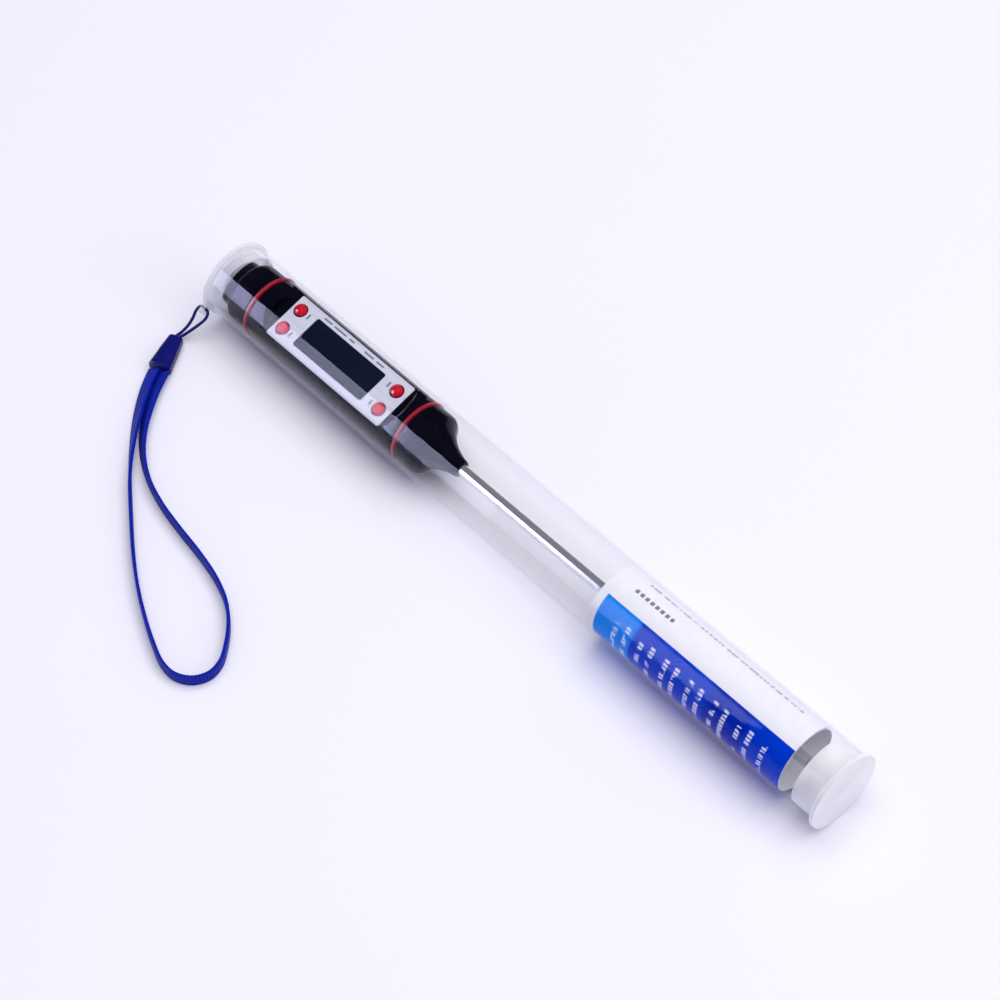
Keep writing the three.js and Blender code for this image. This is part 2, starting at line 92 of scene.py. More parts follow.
AZIMUTH, ELEVATION = math.radians(46.17), math.radians(54.32)
AIM = Vector((-0.0014, 0.001, 0.0111))
DISTANCE = 0.952
LENS = 122.0
SHIFT = (-0.0193, 0.0202)


def make_camera():
    data = bpy.data.cameras.new("camera")
    data.lens = LENS
    data.sensor_width = 36
    data.shift_x, data.shift_y = SHIFT
    data.clip_start, data.clip_end = 0.01, 20
    camera = bpy.data.objects.new("camera", data)
    bpy.context.scene.collection.objects.link(camera)
    away = Vector((
        math.sin(AZIMUTH) * math.cos(ELEVATION),
        -math.cos(AZIMUTH) * math.cos(ELEVATION),
        math.sin(ELEVATION),
    ))
    camera.location = AIM + DISTANCE * away
    camera.rotation_euler = (-away).to_track_quat("-Z", "Y").to_euler()
    bpy.context.scene.camera = camera


# Material helpers ----------------------------------------------------------------------


class Nodes:
    """A short way to build one material's node tree."""

    def __init__(self, name):
        self.material = bpy.data.materials.new(name)
        self.material.use_nodes = True
        self.tree = self.material.node_tree
        self.tree.nodes.clear()
        self.out = self.add("ShaderNodeOutputMaterial")

    def add(self, kind, inputs=None, **settings):
        node = self.tree.nodes.new(kind)
        for key, value in settings.items():
            setattr(node, key, value)
        for key, value in (inputs or {}).items():
            self.feed(node.inputs[key], value)
        return node

    def feed(self, socket, value):
        if isinstance(value, bpy.types.NodeSocket):
            self.tree.links.new(value, socket)
        elif isinstance(value, tuple) and len(value) == 3 and socket.type == "RGBA":
            socket.default_value = (*value, 1)
        else:
            socket.default_value = value

    def noise(self, scale, detail, stretch=(1, 1, 1)):
        place_at = self.add("ShaderNodeTexCoord").outputs["Object"]
        stretched = self.add("ShaderNodeMapping", {"Vector": place_at, "Scale": stretch}).outputs[0]
        return self.add("ShaderNodeTexNoise", {
            "Vector": stretched, "Scale": scale, "Detail": detail,
        }).outputs["Fac"]

    def ramp(self, value, low, high, start=0.3, end=0.7):
        return self.add("ShaderNodeMapRange", {
            "Value": value, "From Min": start, "From Max": end, "To Min": low, "To Max": high,
        }).outputs["Result"]

    def math(self, operation, a, b=0.0):
        return self.add("ShaderNodeMath", {0: a, 1: b}, operation=operation).outputs[0]

    def mix(self, factor, a, b):
        node = self.add("ShaderNodeMix", {"Factor": factor}, data_type="RGBA")
        self.feed(node.inputs[6], a)
        self.feed(node.inputs[7], b)
        return node.outputs[2]

    def bump(self, height, strength, distance):
        return self.add("ShaderNodeBump", {
            "Height": height, "Strength": strength, "Distance": distance,
        }).outputs[0]

    def principled(self, **inputs):
        names = {key.replace("_", " "): value for key, value in inputs.items()}
        return self.add("ShaderNodeBsdfPrincipled", names)

    def finish(self, shader):
        self.tree.links.new(shader.outputs[0], self.out.inputs["Surface"])
        return self.material


def moulded(name, colour, vary, rough, grain=0.00002, specular=0.5, tint=(1.0, 1.0, 1.0)):
    """Moulded plastic or rubber: a slow drift of colour and gloss, and a fine surface grain."""
    n = Nodes(name)
    return n.finish(n.principled(
        Base_Color=n.mix(n.ramp(n.noise(90, 4), 0.0, 1.0), colour, vary),
        Roughness=n.ramp(n.noise(420, 5), *rough),
        Normal=n.bump(n.noise(2600, 2), 0.25, grain),
        Specular_IOR_Level=specular,
        Specular_Tint=tint,
    ))


def metal(name, colour, vary, rough=(0.18, 0.3), stretch=(1, 1, 1), grain=0.000008, metallic=1.0):
    """Metal with a drawn or brushed grain, which runs along the axes that stretch makes small."""
    n = Nodes(name)
    streaks = n.noise(900, 4, stretch)
    colours = n.mix(n.ramp(streaks, 0.0, 1.0), colour, vary)
    shader = n.principled(
        Base_Color=colours,
        Roughness=n.ramp(streaks, *rough),
        Normal=n.bump(streaks, 0.3, grain),
        Metallic=metallic,
    )
    return n.finish(shader)


def mirrored_share(n, straight_on, power):
    """How much a clear surface mirrors: little straight on, and all of it at a glancing angle."""
    facing = n.add("ShaderNodeLayerWeight", {"Blend": 0.5}).outputs["Facing"]
    rise = n.math("MULTIPLY", n.math("POWER", facing, power), 1 - straight_on)
    return n.math("ADD", rise, straight_on), facing


def clear_plastic():
    """Thin clear wall: light goes straight through it, and it greys a little along its edges."""
    n = Nodes("clear_plastic")
    scuff = n.noise(240, 6, (0.15, 1, 1))
    gloss = n.principled(
        Base_Color=(0.96, 0.96, 1.0),
        Metallic=1.0,
        Roughness=n.ramp(scuff, 0.01, 0.014, 0.45, 0.75),
    )
    share, facing = mirrored_share(n, 0.008, 6.0)
    tint = n.mix(n.math("POWER", facing, 4.0), (0.998, 0.998, 1.0), (0.92, 0.92, 0.95))
    through = n.add("ShaderNodeBsdfTransparent", {"Color": tint})
    share = n.math("MINIMUM", share, 0.55)
    return n.finish(n.add("ShaderNodeMixShader", {0: share, 1: through.outputs[0], 2: gloss.outputs[0]}))


def milky_plastic(name, least, most):
    """Soft milky plastic. least and most are how much it hides, seen straight on and edge on."""
    n = Nodes(name)
    cloud = n.noise(110, 3)
    body = n.principled(
        Base_Color=n.mix(n.ramp(cloud, 0, 1), (0.95, 0.95, 0.98), (0.99, 0.99, 1.0)),
        Roughness=n.ramp(n.noise(500, 4), 0.3, 0.38),
        Normal=n.bump(n.noise(60, 1), 0.08, 0.0001),
        Specular_IOR_Level=0.35,
    )
    through = n.add("ShaderNodeBsdfTransparent", {"Color": (0.96, 0.96, 0.985)})
    facing = n.add("ShaderNodeLayerWeight", {"Blend": 0.5}).outputs["Facing"]
    share = n.math("ADD", n.ramp(facing, least, most, 0.1, 0.9), n.ramp(cloud, 0.0, 0.06))
    return n.finish(n.add("ShaderNodeMixShader", {0: share, 1: through.outputs[0], 2: body.outputs[0]}))


# Mesh helpers ----------------------------------------------------------------------------


def add_object(name, mesh, material, smooth=True):
    obj = bpy.data.objects.new(name, mesh)
    bpy.context.scene.collection.objects.link(obj)
    obj.data.materials.append(material)
    if smooth:
        mesh.shade_smooth()
    return obj


def from_bmesh(name, bm, material, smooth=True):
    bmesh.ops.recalc_face_normals(bm, faces=bm.faces)
    mesh = bpy.data.meshes.new(name)
    bm.to_mesh(mesh)
    bm.free()
    return add_object(name, mesh, material, smooth)


def apply_modifiers(obj):
    """Replaces the object's mesh by what its modifiers make of it."""
    graph = bpy.context.evaluated_depsgraph_get()
    made = bpy.data.meshes.new_from_object(obj.evaluated_get(graph))
    obj.modifiers.clear()
    obj.data = made


def place(obj, matrix):
    obj.data.transform(matrix)
    return obj


def seat(obj, body, slot, *nodes):
    """Rides on the body and stands for those CAD nodes. The slot is not used."""
    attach(obj, body)
    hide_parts(*nodes)
    return obj


def crisp(obj, angle=38):
    """Smooth shading that keeps edges sharper than the angle, in degrees."""
    obj.data.shade_smooth()
    bm = bmesh.new()
    bm.from_mesh(obj.data)
    limit = math.radians(angle)
    for edge in bm.edges:
        edge.smooth = len(edge.link_faces) == 2 and edge.calc_face_angle(0) <= limit
    bm.to_mesh(obj.data)
    bm.free()
    return obj


def turned(name, profile, material, sides=SIDES, closed=False):
    """A solid of revolution about X from a list of (x, radius), in millimetres."""
    bm = bmesh.new()
    rings = []
    for x, radius in profile:
        if radius < 1e-6:
            rings.append([bm.verts.new(Vector((x, 0, 0)) * MM)])
            continue
        ring = []
        for i in range(sides):
            angle = 2 * math.pi * (i + 0.5) / sides
            ring.append(bm.verts.new(Vector((x, radius * math.sin(angle), radius * math.cos(angle))) * MM))
        rings.append(ring)
    for a, b in zip(rings, rings[1:] + rings[:1] if closed else rings[1:]):
        for i in range(sides):
            j = (i + 1) % sides
            corners = [a[i % len(a)], a[j % len(a)], b[j % len(b)], b[i % len(b)]]
            unique = list(dict.fromkeys(corners))
            if len(unique) > 2:
                bm.faces.new(unique)
    return from_bmesh(name, bm, material)


def rounded(profile, radius, steps=4, skip=()):
    """The profile with its inner corners rounded; skip holds the indices that stay sharp."""
    out = []
    last = len(profile) - 1
    for i, (x, r) in enumerate(profile):
        if i in (0, last) or i in skip:
            out.append((x, r))
            continue
        here = Vector((x, r))
        back = Vector(profile[i - 1]) - here
        ahead = Vector(profile[i + 1]) - here
        reach = min(radius, back.length * 0.45, ahead.length * 0.45)
        a, b = here + back.normalized() * reach, here + ahead.normalized() * reach
        for k in range(steps + 1):
            t = k / steps
            point = a * (1 - t) ** 2 + here * 2 * t * (1 - t) + b * t ** 2
            out.append((point.x, point.y))
    return out


def smooth_line(points, count):
    """A centripetal Catmull-Rom curve through the points, sampled evenly by parameter."""
    points = [Vector(p) for p in points]
    ends = [points[0] * 2 - points[1], *points, points[-1] * 2 - points[-2]]
    out = []
    pieces = len(points) - 1
    for k in range(count + 1):
        place_at = k / count * pieces
        i = min(int(place_at), pieces - 1)
        p0, p1, p2, p3 = ends[i:i + 4]
        t1 = math.sqrt((p1 - p0).length)
        t2 = t1 + math.sqrt((p2 - p1).length)
        t3 = t2 + math.sqrt((p3 - p2).length)
        t = t1 + (place_at - i) * (t2 - t1)
        a1 = p0 * ((t1 - t) / t1) + p1 * (t / t1)
        a2 = p1 * ((t2 - t) / (t2 - t1)) + p2 * ((t - t1) / (t2 - t1))
        a3 = p2 * ((t3 - t) / (t3 - t2)) + p3 * ((t - t2) / (t3 - t2))
        b1 = a1 * ((t2 - t) / t2) + a2 * (t / t2)
        b2 = a2 * ((t3 - t) / (t3 - t1)) + a3 * ((t - t1) / (t3 - t1))
        out.append(b1 * ((t2 - t) / (t2 - t1)) + b2 * ((t - t1) / (t2 - t1)))
    return out


def plate_piece(name, outline, holes, low, high, bevel, material):
    """A flat piece of even thickness with rounded edges, from closed outlines in X and Y, in millimetres."""
    data = bpy.data.curves.new(name, "CURVE")
    data.dimensions = "2D"
    data.fill_mode = "BOTH"
    for loop in [outline, *holes]:
        spline = data.splines.new("POLY")
        spline.points.add(len(loop) - 1)
        for point, (x, y) in zip(spline.points, loop):
            point.co = (x * MM, y * MM, 0, 1)
        spline.use_cyclic_u = True
    data.extrude = ((high - low) / 2 - bevel) * MM
    data.bevel_depth = bevel * MM
    data.bevel_resolution = 2
    data.offset = -bevel * MM
    curve = bpy.data.objects.new(name + "_outline", data)
    bpy.context.scene.collection.objects.link(curve)
    graph = bpy.context.evaluated_depsgraph_get()
    mesh = bpy.data.meshes.new_from_object(curve.evaluated_get(graph))
    bpy.data.objects.remove(curve)
    mesh.transform(Matrix.Translation((0, 0, (low + high) / 2 * MM)))
    mesh.materials.clear()
    obj = add_object(name, mesh, material)
    bm = bmesh.new()
    bm.from_mesh(obj.data)
    bmesh.ops.remove_doubles(bm, verts=bm.verts, dist=1e-7)
    bmesh.ops.recalc_face_normals(bm, faces=bm.faces)
    bm.to_mesh(obj.data)
    bm.free()
    return crisp(obj, 12)


def round_box(x0, x1, half, corner, steps=8):
    """The outline of a rectangle with round corners, half wide on each side of the X axis."""
    points = []
    for cx, cy, start in ((x1 - corner, half - corner, 0), (x0 + corner, half - corner, 90),
                          (x0 + corner, corner - half, 180), (x1 - corner, corner - half, 270)):
        for k in range(steps + 1):
            angle = math.radians(start + 90 * k / steps)
            points.append((cx + corner * math.cos(angle), cy + corner * math.sin(angle)))
    return points


def circle(x, y, radius, sides=40):
    turn = [2 * math.pi * i / sides for i in range(sides)]
    return [(x + radius * math.cos(a), y + radius * math.sin(a)) for a in turn]


def cut(obj, cutter, operation="DIFFERENCE"):
    """Cuts the object by the cutter, or joins them, and uses the cutter up."""
    modifier = obj.modifiers.new("cut", "BOOLEAN")
    modifier.operation = operation
    modifier.object = cutter
    modifier.solver = "EXACT"
    apply_modifiers(obj)
    bpy.data.objects.remove(cutter)


def block(x0, x1, half, low, high, material):
    bm = bmesh.new()
    bmesh.ops.create_cube(bm, size=1)
    size = Vector((x1 - x0, 2 * half, high - low)) * MM
    middle = Vector(((x0 + x1) / 2, 0, (low + high) / 2)) * MM
    bm.transform(Matrix.Translation(middle) @ Matrix.Diagonal((*size, 1)))
    return from_bmesh("cutter", bm, material, smooth=False)


# Strap: the cords come first --------------------------------------------------------------

STRING_R = 0.5
STRING_ROUTE = [
    (-122.6, -22.9, 2.3), (-123.4, -21.2, 2.3), (-123.0, -19.2, 2.7), (-122.1, -16.9, 3.9),
    (-121.0, -14.9, 5.6), (-120.2, -13.1, 7.4), (-120.7, -11.8, 8.5), (-122.35, -11.4, 8.6),
    (-124.0, -11.8, 8.5), (-124.5, -13.1, 7.4), (-124.2, -14.9, 5.6), (-124.1, -16.9, 4.0),
    (-124.3, -19.2, 2.8), (-124.5, -21.7, 2.3), (-123.7, -23.4, 2.3),
]
STRING_LAY = 2.6  # one turn of its strands
WEBBING_WIDTH = 4.0
WEBBING_THICK = 1.0
WEBBING_LIFT = 0.02  # above the surface
WEBBING_LEAN = 60.0  # degrees, where it goes into the connector
LEAN_OVER = 48.0  # the length at each end in which it leans
WEBBING_ROUTE = [
    (-116.8, -32.6), (-114.9, -36.4), (-112.8, -40.0), (-109.5, -44.8), (-103.8, -51.6),
    (-97.2, -57.2), (-89.2, -61.6), (-80.1, -64.5), (-70.0, -66.4), (-60.0, -67.9),
    (-50.5, -70.0), (-42.2, -73.3), (-36.0, -77.8), (-31.0, -83.2), (-28.0, -87.7),
    (-27.2, -92.4), (-29.2, -96.8), (-33.6, -99.5), (-39.0, -99.4), (-45.5, -97.0),
    (-53.5, -93.2), (-62.5, -88.2), (-72.2, -81.8), (-83.3, -73.4), (-95.2, -63.8),
    (-104.2, -55.0), (-111.6, -46.4), (-116.6, -39.4), (-119.7, -34.0),
]
CONNECTOR_TOP, CONNECTOR_BOTTOM = Vector((-123.8, -21.8)), Vector((-118.5, -33.0))


def length_of(line):
    return sum((b - a).length for a, b in zip(line, line[1:]))


def cord_material():
    n = Nodes("navy_cord")
    along = n.add("ShaderNodeTexCoord").outputs["UV"]
    twist = n.add("ShaderNodeTexWave", {"Vector": along, "Scale": 3.0, "Distortion": 0.6},
                  bands_direction="DIAGONAL").outputs["Fac"]
    fibre = n.noise(3000, 3)
    # The grooves between the strands are painted darker: painted shade, on top of the fibres' own random tone.
    colour = n.mix(n.math("MULTIPLY", twist, fibre), (0.001, 0.004, 0.11), (0.005, 0.014, 0.34))
    return n.finish(n.principled(
        Base_Color=colour, Roughness=n.ramp(fibre, 0.55, 0.75), Normal=n.bump(twist, 0.6, 0.00015),
        Specular_IOR_Level=0.2,
    ))


def webbing_material():
    """Woven tape: ribs across it and a fine diagonal weave, in a bright royal blue, with painted shade in the
    weave's low parts.
    """
    n = Nodes("blue_webbing")
    along = n.add("ShaderNodeTexCoord").outputs["UV"]
    ribs = n.add("ShaderNodeTexWave", {"Vector": along, "Scale": 0.32, "Distortion": 0.3, "Detail": 1.0},
                 bands_direction="X").outputs["Fac"]
    weave = n.add("ShaderNodeTexWave", {"Vector": along, "Scale": 0.55, "Distortion": 0.4},
                  bands_direction="DIAGONAL").outputs["Fac"]
    height = n.math("ADD", n.math("MULTIPLY", ribs, 0.6), n.math("MULTIPLY", weave, 0.4))
    fibre = n.noise(1500, 3)
    # The weave's low parts are painted darker: painted shade in its grooves, on top of the fibres' own random
    # tone.
    light = n.math("MULTIPLY", height, n.ramp(fibre, 0.5, 1.0))
    colour = n.mix(light, (0.0, 0.003, 0.16), (0.002, 0.028, 0.6))
    return n.finish(n.principled(
        Base_Color=colour, Roughness=n.ramp(fibre, 0.5, 0.7), Normal=n.bump(height, 0.7, 0.00012),
        Specular_IOR_Level=0.15,
    ))


def tube_along(name, line, section, material, turn_at):
    """A closed tube with that section, a list of (across, up), along a line in millimetres.
    turn_at gives the section's turn at a length. The UVs are millimetres along and around."""
    bm = bmesh.new()
    layer = bm.loops.layers.uv.new("UVMap")
    up = Vector((0, 0, 1))
    rings = []
    along = 0.0
    lengths = []
    for i, point in enumerate(line):
        ahead = line[min(i + 1, len(line) - 1)] - line[max(i - 1, 0)]
        ahead.normalize()
        side = ahead.cross(up)
        if side.length < 0.05:
            side = Vector((0, 1, 0))
        side.normalize()
        over = side.cross(ahead).normalized()
        if i:
            along += (point - line[i - 1]).length
        lengths.append(along)
        spin = turn_at(along)
        ring = []
        for a, b in section:
            across = a * math.cos(spin) - b * math.sin(spin)
            high = a * math.sin(spin) + b * math.cos(spin)
            ring.append(bm.verts.new((point + side * across + over * high) * MM))
        rings.append(ring)
    count = len(section)
    around = [0.0]
    for a, b in zip(section, section[1:] + section[:1]):
        around.append(around[-1] + math.hypot(b[0] - a[0], b[1] - a[1]))
    for i in range(len(rings) - 1):
        for k in range(count):
            m = (k + 1) % count
            face = bm.faces.new([rings[i][k], rings[i][m], rings[i + 1][m], rings[i + 1][k]])
            corners = ((lengths[i], around[k]), (lengths[i], around[k + 1]),
                       (lengths[i + 1], around[k + 1]), (lengths[i + 1], around[k]))
            for loop, corner in zip(face.loops, corners):
                loop[layer].uv = corner
    bm.faces.new(rings[0])
    bm.faces.new(rings[-1])
    return from_bmesh(name, bm, material)


def rope_section(radius, strands=3, dip=0.16, sides=24):
    """A round section with as many lobes as there are strands."""
    out = []
    for i in range(sides):
        angle = 2 * math.pi * i / sides
        reach = radius * (1 - dip * (0.5 - 0.5 * math.cos(strands * angle)))
        out.append((reach * math.cos(angle), reach * math.sin(angle)))
    return out


def strap_string():
    line = smooth_line(STRING_ROUTE, 260)
    obj = tube_along("string", line, rope_section(STRING_R), cord_material(),
                     turn_at=lambda s: 2 * math.pi * s / STRING_LAY)
    seat(obj, "strap_cap", "string_navy", "strap_string")
    return obj, line


def strap_webbing():
    middle = WEBBING_WIDTH / 2 + WEBBING_LIFT
    line = smooth_line([(x, y, middle) for x, y in WEBBING_ROUTE], 420)
    half, thick, corner = WEBBING_WIDTH / 2, WEBBING_THICK / 2, 0.28
    section = []
    for cx, cy, start in ((thick - corner, half - corner, 0), (corner - thick, half - corner, 90),
                          (corner - thick, corner - half, 180), (thick - corner, corner - half, 270)):
        for k in range(4):
            angle = math.radians(start + 30 * k)
            section.append((cx + corner * math.cos(angle), cy + corner * math.sin(angle)))
    full = length_of(line)

    def lean(s):
        """It stands on edge in the loop and leans over towards the connector."""
        near = max(0.0, 1 - min(s, full - s) / LEAN_OVER)
        smooth = near * near * (3 - 2 * near)
        return math.radians(WEBBING_LEAN) * smooth * (1 if s < full / 2 else -1)

    obj = tube_along("webbing", line, section, webbing_material(), turn_at=lean)
    seat(obj, "strap_cap", "webbing_blue", "strap_webbing")
    return obj, line


def strap_connector():
    """A tapered sleeve, oval across, with grip ridges round its wide end."""
    along = CONNECTOR_BOTTOM - CONNECTOR_TOP
    long = along.length
    high = span("strap_connector")[1].z
    stations, sides = 34, 36
    power = 0.55  # below 1 makes the oval squarer
    rings = []
    bm = bmesh.new()
    for i in range(stations + 1):
        t = i / stations
        wide = 2.2 + 1.4 * t  # half its width
        tall = 1.9 + 0.38 * min(1, 2.2 * t)  # half its height
        ease = min(1, t / 0.06, (1 - t) / 0.05)
        inset = 0.42 * (1 - math.sqrt(max(0.0, 1 - (1 - ease) ** 2)))
        ridge = 0.1 * max(0.0, math.sin(2 * math.pi * t * 9)) if 0.5 < t < 0.92 else 0.0
        ring = []
        for k in range(sides):
            angle = 2 * math.pi * k / sides
            c, s = math.cos(angle), math.sin(angle)
            x = math.copysign(abs(c) ** power, c) * (wide - inset - ridge)
            z = math.copysign(abs(s) ** power, s) * (tall - inset - ridge)
            ring.append(bm.verts.new(Vector((long * t, x, z)) * MM))
        rings.append(ring)
    for a, b in zip(rings, rings[1:]):
        for k in range(sides):
            m = (k + 1) % sides
            bm.faces.new([a[k], a[m], b[m], b[k]])
    bm.faces.new(rings[0])
    bm.faces.new(rings[-1])
    obj = from_bmesh("connector", bm, moulded(
        "navy_plastic", (0.002, 0.004, 0.12), (0.004, 0.007, 0.18), rough=(0.3, 0.42), specular=0.3))
    turn = Matrix.Rotation(math.atan2(along.y, along.x), 4, "Z")
    place(obj, Matrix.Translation(Vector((*CONNECTOR_TOP, high / 2)) * MM) @ turn)
    return seat(crisp(obj, 50), "strap_cap", "connector_navy", "strap_connector")


def make_strap():
    string, string_line = strap_string()
    webbing, webbing_line = strap_webbing()
    connector = strap_connector()


# Tube, caps and leaflet ---------------------------------------------------------------------


def make_tube():
    a, b = TUBE_LOW.x, TUBE_HIGH.x
    start = (a + 5, BORE_R)  # on the straight bore, so that every corner gets rounded
    profile = rounded([start, (a, BORE_R), (a, TUBE_R), (b, TUBE_R), (b, BORE_R), start], 0.2, 3)
    tube = turned("tube", profile[:-1], clear_plastic(), closed=True)
    seat(place(crisp(tube), TO_TUBE), "tube", "clear_plastic", "storage_tube")


def ear(material):
    """The loop on the strap cap's edge that the string passes through."""
    angle = math.radians(17)
    at, radius, hole = 12.9, 1.95, 0.9
    thick = 1.3
    outline = [(at + radius * math.cos(t), radius * math.sin(t))
               for t in [math.radians(d) for d in range(-100, 101, 10)]]
    outline += [(10.8, 2.3), (10.8, -2.3)]
    flat = plate_piece("ear", outline, [circle(at, 0, hole, 28)], 0, thick, 0.18, material)
    # Its plan is in X and Y, and its thickness along Z: stand it up across the tube's axis.
    stand = Matrix(((0, 0, 1, LEFT * MM), (-1, 0, 0, 0), (0, -1, 0, 0), (0, 0, 0, 1)))
    return place(flat, Matrix.Rotation(angle, 4, "X") @ stand)


def join(objects, name):
    """One object from several, with the first one's material."""
    bm = bmesh.new()
    for obj in objects:
        bm.from_mesh(obj.data)
    material = objects[0].data.materials[0]
    for obj in objects:
        bpy.data.objects.remove(obj)
    mesh = bpy.data.meshes.new(name)
    bm.to_mesh(mesh)
    bm.free()
    return crisp(add_object(name, mesh, material), 32)


def make_caps():
    thin = milky_plastic("milky_plastic_thin", 0.12, 0.5)
    thick = milky_plastic("milky_plastic", 0.5, 0.85)
    inner, end = LEFT + FLANGE, span("top_cap")[1].x
    top = turned("top_cap_disc", rounded([
        (LEFT, 0), (LEFT, FLANGE_R), (inner, FLANGE_R), (inner, SKIRT_R),
        (end, SKIRT_R - 0.1), (end, SKIRT_BORE_R), (inner, SKIRT_BORE_R), (inner, 0),
    ], 0.28), thin)
    top = join([top, ear(thin)], "strap_cap")
    seat(place(top, TO_TUBE), "strap_cap", "frosted_plastic", "top_cap")
    inner, end = RIGHT - FLANGE, span("bottom_cap")[0].x
    bottom = turned("end_cap", rounded([
        (inner, 0), (inner, SKIRT_BORE_R), (end, SKIRT_BORE_R), (end, SKIRT_R - 0.1),
        (inner, SKIRT_R), (inner, FLANGE_R), (RIGHT, FLANGE_R), (RIGHT, 0),
    ], 0.28), thick)
    seat(place(crisp(bottom, 32), TO_TUBE), "end_cap", "frosted_plastic", "bottom_cap")


LEAF_R = 10.84
LEAF_PITCH = 0.55  # the radius lost in one turn
LEAF_TURNS = 1.35
PAPER = 0.14
LEAF_START = -56.0  # where its outer edge lies: degrees from up, towards -Y
PANEL_FROM = math.radians(26.4 - LEAF_START) * LEAF_R
PANEL_TO = PANEL_FROM + 27.0
PRINT_AT = 4.5
INSIDE = 100  # the UV that marks bare paper: the inside and the cut edges


def leaflet_material():
    """Coated paper: white, with a blue panel whose first part is azure, bars in place of print, and a painted glow
    on its inside.
    """
    n = Nodes("leaflet_paper")
    place_at = n.add("ShaderNodeTexCoord").outputs["UV"]
    split = n.add("ShaderNodeSeparateXYZ", {"Vector": place_at})
    u, v = split.outputs[0], split.outputs[1]

    def between(value, low, high):
        over = n.math("GREATER_THAN", value, low)
        under = n.math("LESS_THAN", value, high)
        return n.math("MULTIPLY", over, under)

    # The panel starts on the side that faces up and forward, and goes down the front.
    panel = n.math("MULTIPLY", between(u, 2.6, 200.0), between(v, PANEL_FROM, PANEL_TO))
    azure = between(u, 2.6, 15.9)
    blue = n.mix(n.ramp(n.noise(30, 2), 0, 1), (0.0, 0.028, 0.5), (0.0, 0.042, 0.6))
    blue = n.mix(between(u, 44.0, 58.0), blue, (0.0, 0.02, 0.42))
    panel_colour = n.mix(azure, blue, (0.0, 0.23, 0.86))
    paper = n.mix(n.ramp(n.noise(400, 4), 0, 1), (0.79, 0.79, 0.86), (0.84, 0.84, 0.9))
    # Bars that stand for print: two rows along the white part, and rows round the tube on the blue.
    words = n.math("GREATER_THAN", n.add("ShaderNodeTexNoise", {
        "Vector": n.add("ShaderNodeMapping", {"Vector": place_at, "Scale": (0.8, 0.02, 1)}).outputs[0],
        "Scale": 1.0, "Detail": 2.0,
    }).outputs["Fac"], 0.47)
    small = n.math("MULTIPLY", between(v, PRINT_AT - 0.5, PRINT_AT + 0.5), between(u, 8.0, 66.0))
    large = n.math("MULTIPLY", between(v, PRINT_AT + 4.6, PRINT_AT + 5.9), between(u, 7.5, 22.0))
    strokes = n.math("LESS_THAN", n.math("FRACT", n.math("DIVIDE", u, 1.9)), 0.62)
    on_white = n.math("MAXIMUM", n.math("MULTIPLY", n.math("MULTIPLY", small, words), 0.45),
                      n.math("MULTIPLY", n.math("MULTIPLY", large, strokes), 0.8))
    across = n.add("ShaderNodeTexNoise", {
        "Vector": n.add("ShaderNodeMapping", {"Vector": place_at, "Scale": (0.19, 0.5, 1)}).outputs[0],
        "Scale": 1.0, "Detail": 1.0,
    }).outputs["Fac"]
    # The rows come in pairs, and each is cut into strokes.
    pair = n.math("FRACT", n.math("DIVIDE", u, 9.2))
    row = n.math("MAXIMUM", between(pair, 0.0, 0.17), between(pair, 0.42, 0.59))
    row = n.math("MULTIPLY", row, n.math("LESS_THAN", n.math("FRACT", n.math("DIVIDE", v, 1.2)), 0.68))
    rows = n.math("MULTIPLY", between(v, PANEL_FROM + 3.4, PANEL_FROM + 15.0), between(u, 8.0, 66.0))
    on_blue = n.math("MULTIPLY", n.math("MULTIPLY", row, rows), n.math("GREATER_THAN", across, 0.46))
    colour = n.mix(panel, paper, panel_colour)
    colour = n.mix(on_white, colour, (0.06, 0.06, 0.1))
    colour = n.mix(n.math("MULTIPLY", on_blue, 0.8), colour, (0.85, 0.88, 0.98))
    # The inside and the cut edges glow a little. This is painted light, standing in for the light that comes
    # through the paper.
    inside = n.math("GREATER_THAN", v, INSIDE - 1)
    return n.finish(n.principled(
        Base_Color=colour,
        Roughness=n.ramp(n.noise(700, 3), 0.38, 0.5),
        Normal=n.bump(n.noise(1500, 3), 0.2, 0.00002),
        Specular_IOR_Level=0.0,
        Emission_Color=(1.0, 1.0, 1.0),
        Emission_Strength=n.math("MULTIPLY", inside, 0.04),
    ))


